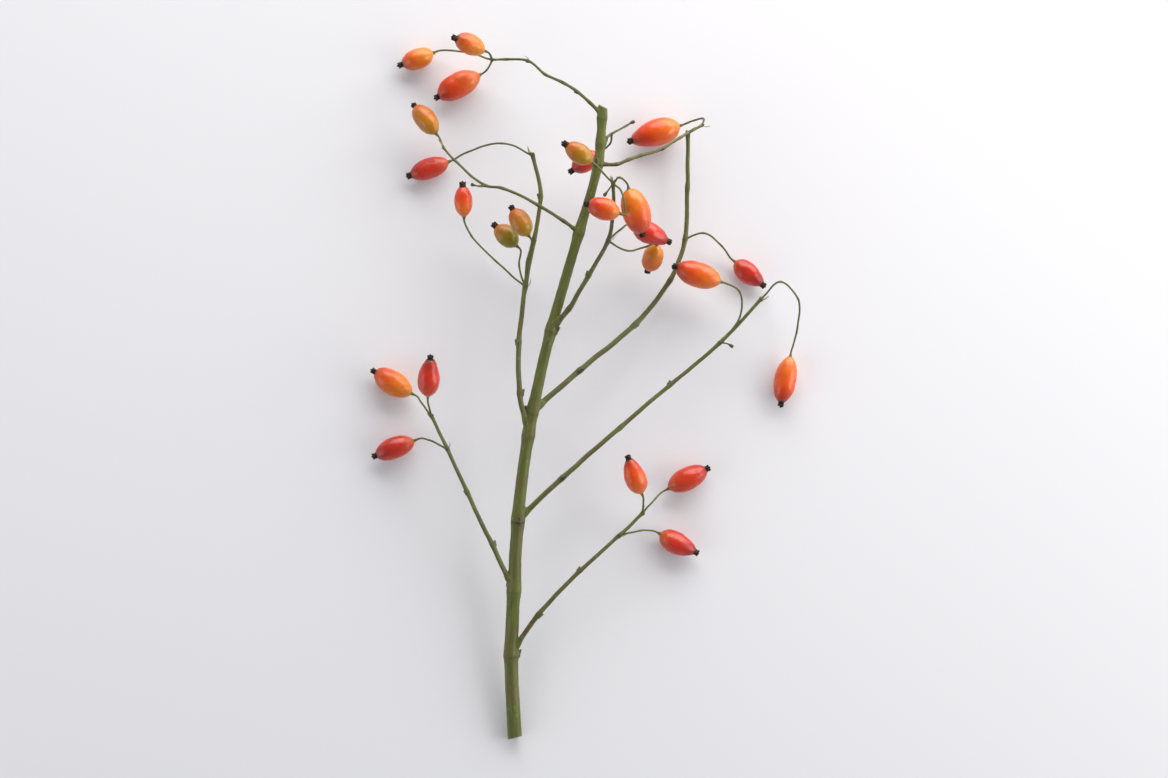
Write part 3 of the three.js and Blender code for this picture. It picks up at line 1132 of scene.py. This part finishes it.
@dataclass
class Stem(Wood):
    """The woody stem, with its nodes, its buds, the collars of its twigs and two cut ends.

    Attributes:
        cell: The size of the cells that its skin is drawn on, in metres.
        swelling: How far a node stands out, in metres.
        node_reach: How far along the stem it does so, in metres.
        scar: How far a leaf scar's ring stands out, in metres.
        scar_reach: How far along the stem it does so, in metres.
        scar_drop: How far below the middle of its node the ring is, in metres.
        bud_length: The length of a bud, in metres.
        route: The stem's line, once laid out.
    """

    cell: float = 0.26 * MM
    swelling: float = 0.42 * MM
    node_reach: float = 3.6 * MM
    scar: float = 0.07 * MM
    scar_reach: float = 0.5 * MM
    scar_drop: float = 0.8 * MM
    bud_length: float = 2.5 * MM
    route: Route | None = None

    def lay_out(self) -> Route:
        """Works out the stem's line and its radius at each point, past both cuts.

        Returns:
            The stem's line.
        """
        marks = [framed(p) for p in STEM_ROUTE]
        foot = marks[0] - (marks[1] - marks[0]).normalized() * self.overhang
        tip = marks[-1] + (marks[-1] - marks[-2]).normalized() * self.overhang
        points = wander(through([foot, *marks, tip], self.step), 0.25 * MM, 14 * MM)
        low, high = (r * MM for r in STEM_RADII)
        heights = [h * MM for h in STEM_NODE_HEIGHTS]
        radii, knots = [], []
        for k, point in enumerate(points):
            up = point.y - SHIFT.y
            broad = max(bell(up - h, self.node_reach) for h in heights)
            ring = max(bell(up + self.scar_drop - h, self.scar_reach) for h in heights)
            plain = low + (high - low) * k / (len(points) - 1)
            radii.append(plain + self.swelling * broad + self.scar * ring)
            knots.append(ring)
        ages = [0.85 - 0.6 * k / (len(points) - 1) for k in range(len(points))]
        self.route = Route(points, radii, ages, knots)
        self.route.face_scars([self.route.nearest(p) for p in self.node_places()], 0.9, 2.4)
        return self.route

    def node_places(self) -> list[Vector]:
        """The places of the stem's nodes on its line."""
        line = self.route.points
        return [min(line, key=lambda p: abs(p.y - SHIFT.y - h * MM)) for h in STEM_NODE_HEIGHTS]

    def gap(self, place: Vector) -> float:
        """How far a place is outside the stem's bark."""
        k = self.route.nearest(place)
        return (self.route.points[k] - place).length - self.route.radii[k]

    def collar(self, twig: Route, start: int) -> bpy.types.Object:
        """Models the ridge of bark that a twig leaves the stem through.

        Args:
            twig: The twig's line.
            start: The number of the point where it leaves the bark.

        Returns:
            The collar, a tube that runs from the stem's middle into the twig.
        """
        end = start + round(3.2 * MM / self.step)
        radii = [twig.radii[k] * (1.3 - 0.42 * max(0.0, (k - start + 2) / (end - start + 2)))
                 for k in range(end)]
        self.shadows.append((twig.points[start], 1.15 * twig.radii[start]))
        return Route(twig.points[:end], radii, twig.ages[:end], twig.knots[:end]).tube()

    def build(self, twigs: list["Twig"], palette: Palette) -> None:
        """Models and dresses the stem.

        Args:
            twigs: The twigs that grow from it, laid out.
            palette: The sprig's materials.
        """
        route = self.route
        buds = [self.bud(route, route.nearest(place), self.bud_length) for place in self.node_places()[:-1]]
        self.shadows.append((framed(STEM_ROUTE[-1]), 2.4 * MM))
        collars = [self.collar(twig.route, twig.start) for twig in twigs]
        piece = self.weld([route.tube(), *buds, *collars], "main_stem_wood", self.cell)
        roughen(piece, 2.4 * MM, 0.16 * MM)
        palette.dress(piece, "stem", "cut", "pith")
        ends = ((STEM_ROUTE[0], Vector((0.25, -1, 0.1))), (STEM_ROUTE[-1], Vector((0.5, 1, 0.25))))
        for (end, slant), radius in zip(ends, STEM_RADII):
            self.cut(piece, framed(end), slant)
            self.sink(framed(end), slant, radius * MM)
            self.dress_cut(piece, framed(end), slant, radius * MM)
        self.mark(piece, [route])
        smooth_over(piece, 50)
        hand_over(piece, "stem_bark", "main_stem")


@dataclass
class Twig(Wood):
    """One twig with its stalks, its knuckles, its buds and its bracts.

    Attributes:
        plan: The twig's plan.
        stem: The stem that it grows from.
        stances: The stances of its hips.
        dice: Where its small differences come from.
        cell: The size of the cells that its skin is drawn on, in metres.
        stalk_radius: The radius of a stalk, in metres.
        seat_radius: The radius of a stalk where it holds its hip, in metres.
        route: The twig's own line, once laid out.
        start: The number of the route point where it leaves the stem's bark.
    """

    plan: TwigPlan = TWIGS[0]
    stem: Stem | None = None
    stances: list[Stance] = field(default_factory=list)
    dice: random.Random | None = None
    cell: float = 0.16 * MM
    stalk_radius: float = 0.4 * MM
    seat_radius: float = 0.8 * MM
    route: Route | None = None
    start: int = 0

    def lay_out(self) -> "Twig":
        """Works out the twig's own line, from the stem's middle outwards.

        Returns:
            The twig itself.
        """
        marks = [framed(p) for p in self.plan.route]
        if self.plan.cut:
            marks.append(marks[-1] + (marks[-1] - marks[-2]).normalized() * self.overhang)
        points = wander(through(marks, self.step), 0.3 * MM, 9 * MM)
        thick, fine = (r * MM for r in self.plan.radii)
        self.start = next(k for k, point in enumerate(points) if self.stem.gap(point) > 0)
        radii, knots, ages = [], [], []
        for k, point in enumerate(points):
            share = k / (len(points) - 1)
            nearest = min((point - m).length for m in marks[1:])
            collar = bell((k - self.start) * self.step, 2.2 * MM)
            swell, ring = bell(nearest, 1.9 * MM), bell(nearest, 0.55 * MM)
            radii.append((thick + (fine - thick) * share) * (1 + 0.18 * collar + 0.2 * swell + 0.05 * ring))
            knots.append(ring)
            ages.append(0.8 - 0.5 * share)
        self.route = Route(points, radii, ages, knots)
        self.route.face_scars([self.route.nearest(m) for m in marks[1:]], 1.1, 2.2)
        return self

    def stalk_route(self, stalk: Stalk, stance: Stance) -> Route:
        """Works out a stalk's line, from its fork into the seat of its hip.

        Args:
            stalk: The stalk's plan.
            stance: The stance of its hip.

        Returns:
            The stalk's line.
        """
        seat = stance.base + stance.axis * 0.35 * MM
        bends = [framed(p) for p in (self.plan.route[stalk.leaves], *stalk.via)]
        points = through([*bends, stance.base - stance.axis * 2.3 * MM, seat], self.step)
        points = wander(points, 0.3 * MM, 6 * MM)
        radii, knots, ages = [], [], []
        for k in range(len(points)):
            share = k / (len(points) - 1)
            left = (len(points) - 1 - k) * self.step
            flare = bell(left, 1.2 * MM)
            root = math.exp(-(k * self.step) / (1.2 * MM))
            bead = max(bell((points[k] - bend).length, 0.9 * MM) for bend in bends)
            radii.append(
                self.stalk_radius * (1 + 0.35 * root + 0.16 * bead)
                + (self.seat_radius - self.stalk_radius) * flare)
            knots.append(0.5 * root)
            ages.append(0.25 * (1 - share))
        return Route(points, radii, ages, knots)

    def withered_route(self, places: tuple[Place, ...]) -> Route:
        """Works out the line of a stalk that lost its flower, with the shrunken base of the flower on it.

        Args:
            places: The points that it passes, from its fork.

        Returns:
            The stalk's line.
        """
        points = through([framed(p) for p in places], 0.35 * MM)
        last = len(points) - 1
        radii = [
            self.stalk_radius * (0.85 + 0.95 * bell((last - 2 - k) * 0.35, 0.9)) for k in range(last + 1)]
        self.shadows.append((points[last - 2], 2.4 * MM))
        return Route(points, radii, [0.8] * (last + 1), [0.4] * (last + 1))

    def bract(self, number: int, turn: float) -> bpy.types.Object:
        """Models a small narrow bract that stands off a fork, with its edges rolled in.

        Args:
            number: The number of the route point that it sits at.
            turn: Its place around the twig, as an angle.

        Returns:
            The bract, a thin closed blade.
        """
        k = self.route.nearest(framed(self.plan.route[number]))
        up = self.route.tangent(k)
        out = Matrix.Rotation(turn, 3, up) @ self.route.sides[k]
        long, wide = self.dice.uniform(2.6, 4.4) * MM, self.dice.uniform(0.4, 0.6) * MM
        blade = loft([(h * long, r * wide) for h, r in BRACT_OUTLINE], 12)
        curl, roll = self.dice.uniform(0.1, 0.5), 0.45
        for vertex in blade.data.vertices:
            x, y, z = vertex.co
            vertex.co = (0.14 * x - roll * y * y / wide + curl * z * z / long, y, z)
        lean = (up + out * self.dice.uniform(0.5, 1.1)).normalized()
        across = up.cross(lean).normalized()
        stand = Matrix((lean.cross(across), across, lean)).transposed().to_4x4()
        place = self.route.points[k] + out * (self.route.radii[k] - 0.25 * MM)
        blade.data.transform(Matrix.Translation(place) @ stand)
        return blade

    def extras(self) -> list[bpy.types.Object]:
        """Models the knuckles at the forks and the buds at the nodes.

        Returns:
            The closed meshes to weld to the twig.
        """
        made = []
        fine = self.plan.radii[1] * MM
        for number in sorted({stalk.leaves for stalk in self.plan.stalks}):
            if not (self.plan.cut and number == len(self.plan.route) - 1):
                made.append(self.knuckle(framed(self.plan.route[number]), 1.45 * fine))
        for number in self.plan.buds:
            k = self.route.nearest(framed(self.plan.route[number]))
            made.append(self.bud(self.route, k, 1.6 * self.route.radii[k]))
        return made

    def build(self, palette: Palette) -> None:
        """Models and dresses the twig.

        Args:
            palette: The sprig's materials.
        """
        stalks = [self.stalk_route(s, stance) for s, stance in zip(self.plan.stalks, self.stances)]
        routes = [self.route, *stalks, *(self.withered_route(w) for w in self.plan.withered)]
        tubes = [route.tube() for route in routes]
        end, before = framed(self.plan.route[-1]), framed(self.plan.route[-2])
        along = (end - before).normalized()
        place, slant = end + along * 0.5 * self.overhang, along + Vector((0.3, 0, 0.35))
        if self.plan.cut:
            self.cut(tubes[0], place, slant)
            deselect()
            self.shadows.append((place, 3.6 * MM))
        piece = self.weld([*tubes, *self.extras()], f"{self.plan.name}_wood", self.cell)
        roughen(piece, 1.5 * MM, 0.09 * MM)
        finishes = ("twig", "cut", "pith", "bract")
        palette.dress(piece, *finishes)
        if self.plan.cut:
            self.dress_cut(piece, place, slant, self.plan.radii[1] * MM)
        blades = [self.bract(number, 0.6 + 2.3 * k) for k, number in enumerate(self.plan.bracts)]
        if blades:
            leaves = join(blades, "bracts")
            palette.dress(leaves, *finishes)
            for face in leaves.data.polygons:
                face.material_index = finishes.index("bract")
            piece = join([piece, leaves], piece.name)
        self.mark(piece, routes)
        smooth_over(piece, 60)
        hand_over(piece, "twig_bark", self.plan.name)


# ---- Hips ----


class HipForm(Enum):
    """The outlines that the hips have: share of the length from the stalk, share of the half width."""

    LONG = (
        (0.0, 0.15), (0.01, 0.21), (0.04, 0.36), (0.09, 0.545), (0.17, 0.74), (0.27, 0.895), (0.38, 0.975),
        (0.5, 1.0), (0.61, 0.985), (0.71, 0.93), (0.8, 0.83), (0.875, 0.7), (0.935, 0.55),
        (0.972, 0.42), (0.992, 0.32), (1.0, 0.24),
    )
    PLUMP = (
        (0.0, 0.2), (0.014, 0.29), (0.055, 0.49), (0.12, 0.69), (0.22, 0.87), (0.34, 0.97), (0.47, 1.0),
        (0.59, 0.98), (0.7, 0.915), (0.8, 0.8), (0.88, 0.66), (0.94, 0.515), (0.975, 0.41), (0.993, 0.33),
        (1.0, 0.25),
    )
    TAPERED = (
        (0.0, 0.16), (0.011, 0.24), (0.043, 0.42), (0.095, 0.62), (0.17, 0.81), (0.27, 0.945), (0.37, 1.0),
        (0.47, 0.995), (0.58, 0.945), (0.69, 0.855), (0.79, 0.735), (0.87, 0.61), (0.932, 0.485),
        (0.972, 0.385), (0.992, 0.31), (1.0, 0.24),
    )

    def model(self) -> bpy.types.Object:
        """Models the form one metre long and one metre in radius, drawn out of a disc and smoothed.

        Returns:
            The form, standing on the origin.
        """
        form = loft([(z, r) for z, r in self.value], 28)
        form.name = f"hip_form_{self.name.lower()}"
        finish_with(form, "SUBSURF", levels=2, render_levels=2)
        return form


@dataclass
class Hip:
    """One hip.

    Attributes:
        node: The CAD node that it stands for.
        stance: How it lies.
        ripeness: Its kind of skin.
        tone: How far it has ripened, from 0 to 1.
        dice: Where its small differences come from.
    """

    node: str
    stance: Stance
    ripeness: Ripeness
    tone: float
    dice: random.Random

    def form(self) -> HipForm:
        """Chooses the form that suits the hip's own proportions.

        Returns:
            The form.
        """
        slender = self.stance.length / (2 * self.stance.radius)
        if slender < 1.25:
            return HipForm.PLUMP
        return HipForm.TAPERED if self.dice.random() < 0.35 else HipForm.LONG

    def build(self, forms: dict[HipForm, bpy.types.Object], palette: Palette) -> None:
        """Shapes a copy of a form to the hip's stance and dresses it.

        Args:
            forms: The modelled forms.
            palette: The sprig's materials.
        """
        stance, dice = self.stance, self.dice
        piece = copy_of(forms[self.form()], f"{self.node}_fruit")
        along = [vertex.co.z for vertex in piece.data.vertices]
        oval = dice.uniform(0.95, 1.0)
        seat, reach = 0.1 * MM, 0.32 * MM
        length = stance.length + seat + reach
        size = (stance.radius, stance.radius * oval, length, 1)
        piece.data.transform(Matrix.Translation((0, 0, -seat)) @ Matrix.Diagonal(size))
        bend = math.radians(dice.uniform(4, 11))
        for vertex in piece.data.vertices:
            share = vertex.co.z / length
            vertex.co.x += length * math.tan(bend) * 0.5 * (share * (1 - share))
        roll = dice.uniform(0, 2 * math.pi)
        piece.data.transform(stance.matrix(roll))
        roughen(piece, 5.5 * MM, 0.5 * MM)
        roughen(piece, 2.2 * MM, 0.12 * MM)
        sun = Vector((dice.uniform(-0.6, 0.6), dice.uniform(-0.2, 1.0), dice.uniform(-1.0, 0.4))).normalized()
        middle = stance.base + stance.axis * stance.length * 0.5
        sunny = [0.5 + 0.5 * (v.co - middle).normalized().dot(sun) for v in piece.data.vertices]
        put_attribute(piece, "along", along)
        put_attribute(piece, "sunny", sunny)
        put_attribute(piece, "tone", [self.tone] * len(along))
        piece.data.materials.append(palette.skins[self.ripeness])
        smooth_over(piece)
        hand_over(piece, self.ripeness.value, self.node)


# ---- Calyxes ----


class CalyxForm(Enum):
    """What is left of the flower: its sepal stubs' length and spread, and its tuft's length."""

    WORN = (0.12, 0.15, 0.92)
    LOBED = (0.22, 0.3, 1.0)
    FRAYED = (0.36, 0.1, 1.1)

    def model(self, dice: random.Random) -> bpy.types.Object:
        """Models the form one metre long and one metre in radius.

        Args:
            dice: Where the small differences between the stubs come from.

        Returns:
            The closed form, standing on the origin.
        """
        reach, spread, tuft = self.value
        rows = [(0.0, 0.98), (0.1, 0.88), (0.3, 0.84), (0.5, 0.88), (0.66, 0.93), (0.76, 0.88), (0.8, 0.76),
                (0.75, 0.6), (0.67, 0.44), (0.69, 0.3), (0.84 * tuft, 0.3), (0.96 * tuft, 0.22), (tuft, 0.1)]
        parts = [loft(rows, 20)]
        for number in range(5):
            turn = 2 * math.pi * number / 5 + dice.uniform(-0.25, 0.25)
            long = reach * dice.uniform(0.35, 1.25)
            outline = ((0.4, 0.24), (0.8, 0.15), (1.0, 0.05))
            stub = loft([(0.0, 0.26), *((0.1 + share * long, wide) for share, wide in outline)], 8)
            flat = Matrix.Diagonal((0.5, dice.uniform(1.1, 1.6), 1.0, 1.0))
            lean = Matrix.Rotation(spread * dice.uniform(0.5, 1.5), 4, "Y")
            stub.data.transform(
                Matrix.Rotation(turn, 4, "Z") @ Matrix.Translation((0.76, 0, 0.55)) @ lean @ flat)
            parts.append(stub)
        form = join(parts, f"calyx_form_{self.name.lower()}")
        finish_with(form, "REMESH", mode="VOXEL", voxel_size=0.055)
        finish_with(form, "SMOOTH", factor=0.5, iterations=3)
        return form


@dataclass
class Calyx:
    """One dried calyx.

    Attributes:
        node: The CAD node that it stands for.
        stance: How it lies.
        dice: Where its small differences come from.
    """

    node: str
    stance: Stance
    dice: random.Random

    def build(self, forms: dict[CalyxForm, bpy.types.Object], palette: Palette) -> None:
        """Shapes a copy of a form to the calyx's stance and dresses it.

        Args:
            forms: The modelled forms.
            palette: The sprig's materials.
        """
        stance = self.stance
        piece = copy_of(forms[self.dice.choice(list(CalyxForm))], f"{self.node}_husk")
        wide = stance.radius * self.dice.uniform(0.84, 0.96)
        piece.data.transform(
            stance.matrix(self.dice.uniform(0, 2 * math.pi))
            @ Matrix.Translation((0, 0, -0.15 * MM))
            @ Matrix.Diagonal((wide, wide, stance.length * self.dice.uniform(0.95, 1.15), 1)))
        roughen(piece, 0.9 * MM, 0.22 * MM)
        palette.dress(piece, "calyx")
        smooth_over(piece)
        hand_over(piece, "dried_calyx", self.node)


# ---- The sprig and its studio ----


@dataclass
class Sprig:
    """The whole sprig, built in order from the stem outwards."""

    palette: Palette
    seed: int = 41

    def build(self) -> None:
        """Builds the stem, then each twig with its hips and calyxes."""
        dice = random.Random(self.seed)
        noise.seed_set(self.seed)
        slots = {part["node"]: part["material_slot"] for part in frame["record"]["subparts"]}
        stem = Stem()
        stem.lay_out()
        pairs = [[hip_stances(plan.name, n + 1) for n in range(len(plan.stalks))] for plan in TWIGS]
        twigs = [
            Twig(plan=plan, stem=stem, stances=[hip for hip, _ in pair], dice=dice).lay_out()
            for plan, pair in zip(TWIGS, pairs)
        ]
        stem.build(twigs, self.palette)
        hip_forms = {form: form.model() for form in HipForm}
        calyx_forms = {form: form.model(dice) for form in CalyxForm}
        for twig, pair in zip(twigs, pairs):
            twig.build(self.palette)
            for number, (stalk, (hip, calyx)) in enumerate(zip(twig.plan.stalks, pair), 1):
                node = f"{twig.plan.name}_hip_{number}"
                Hip(node, hip, Ripeness(slots[node]), stalk.tone, dice).build(hip_forms, self.palette)
                Calyx(f"{twig.plan.name}_calyx_{number}", calyx, dice).build(calyx_forms, self.palette)
        for model in (*hip_forms.values(), *calyx_forms.values()):
            bpy.data.objects.remove(model)


@dataclass
class Studio:
    """A pale floor, soft light and a camera that looks straight down.

    Attributes:
        lens: The camera's focal length, in millimetres.
        picture: The width and the height of the picture, as a ratio.
        margin: How much taller the picture is than the sprig.
        walls: How bright the air is level with the sprig.
        ceiling: How bright it is overhead.
        glow: The colour of the lamps.
    """

    lens: float = 85.0
    picture: Row = (1168, 778)
    margin: float = 1.09
    walls: float = 0.68
    ceiling: float = 0.18
    glow: tuple[float, float, float] = (1.0, 0.965, 0.91)

    def floor(self) -> None:
        """Lays the floor that the sprig lies on."""
        deselect()
        bpy.ops.mesh.primitive_plane_add(size=6.0)
        floor = bpy.context.object
        floor.name = "floor"
        material = bpy.data.materials.new("pale_floor")
        material.use_nodes = True
        surface = material.node_tree.nodes["Principled BSDF"].inputs
        surface["Base Color"].default_value = (0.795, 0.805, 0.86, 1)
        surface["Roughness"].default_value = 0.9
        surface["Specular IOR Level"].default_value = 0.1
        floor.data.materials.append(material)
        floor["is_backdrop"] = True

    def light(self, name: str, place: Place, size: Row, power: float, aim: Vector) -> None:
        """Hangs a soft light and turns it towards a point.

        Args:
            name: The light's name.
            place: Where it hangs.
            size: Its width and its height, in metres.
            power: Its power, in watts.
            aim: The point that it looks at.
        """
        deselect()
        bpy.ops.object.light_add(type="AREA", location=place)
        lamp = bpy.context.object
        lamp.name = name
        lamp.data.shape = "RECTANGLE"
        lamp.data.size, lamp.data.size_y = size
        lamp.data.energy = power
        lamp.data.color = self.glow
        lamp.rotation_euler = (aim - Vector(place)).to_track_quat("-Z", "Y").to_euler()

    def build(self) -> None:
        """Builds the floor, the lights, the world and the camera."""
        low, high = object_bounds()
        centre = (low + high) / 2
        self.floor()
        self.light("key_light", (0.3, 0.85, 0.38), (1.7, 0.9), 20.5, centre)
        self.light("side_light", (0.95, -0.1, 0.4), (0.7, 0.7), 4.8, centre)
        self.light("fill_light", (-0.9, -0.3, 0.4), (0.7, 0.7), 2.4, centre)
        self.air()
        bpy.context.scene.view_settings.view_transform = "Standard"
        self.camera(low, high)

    def air(self) -> None:
        """Makes the room's light: pale walls all round and a dimmer ceiling."""
        world = bpy.data.worlds.new("studio_air")
        world.use_nodes = True
        graph = Graph(world.node_tree)
        way = graph.add("ShaderNodeTexCoord").outputs["Generated"]
        height = graph.add("ShaderNodeSeparateXYZ", {0: way}).outputs["Z"]
        glow = graph.fit(height, 0.1, 0.95, (self.walls, self.ceiling))
        air = graph.add("ShaderNodeBackground", {"Color": (0.96, 0.97, 1.0, 1), "Strength": glow})
        graph.add("ShaderNodeOutputWorld", {"Surface": air.outputs[0]})
        bpy.context.scene.world = world

    def camera(self, low: Vector, high: Vector) -> None:
        """Hangs the camera over the sprig, so that the sprig fills the height of the picture.

        Args:
            low: The lowest corner of the sprig's box.
            high: Its highest corner.
        """
        deselect()
        bpy.ops.object.camera_add(location=(0, 0, 1))
        camera = bpy.context.object
        camera.data.lens = self.lens
        wide, height = self.picture
        away = self.lens * (high.y - low.y) * self.margin / (camera.data.sensor_width * height / wide)
        centre = (low + high) / 2
        camera.location = (centre.x, centre.y, centre.z + away)
        camera.rotation_euler = (0, 0, 0)
        bpy.context.scene.camera = camera


def main() -> None:
    """Builds the sprig and its studio."""
    logging.basicConfig(level=logging.INFO, format="%(name)s: %(message)s")
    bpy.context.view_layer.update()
    Studio().build()
    Sprig(Palette().build()).build()
    deselect()


if __name__ == "__main__":
    main()
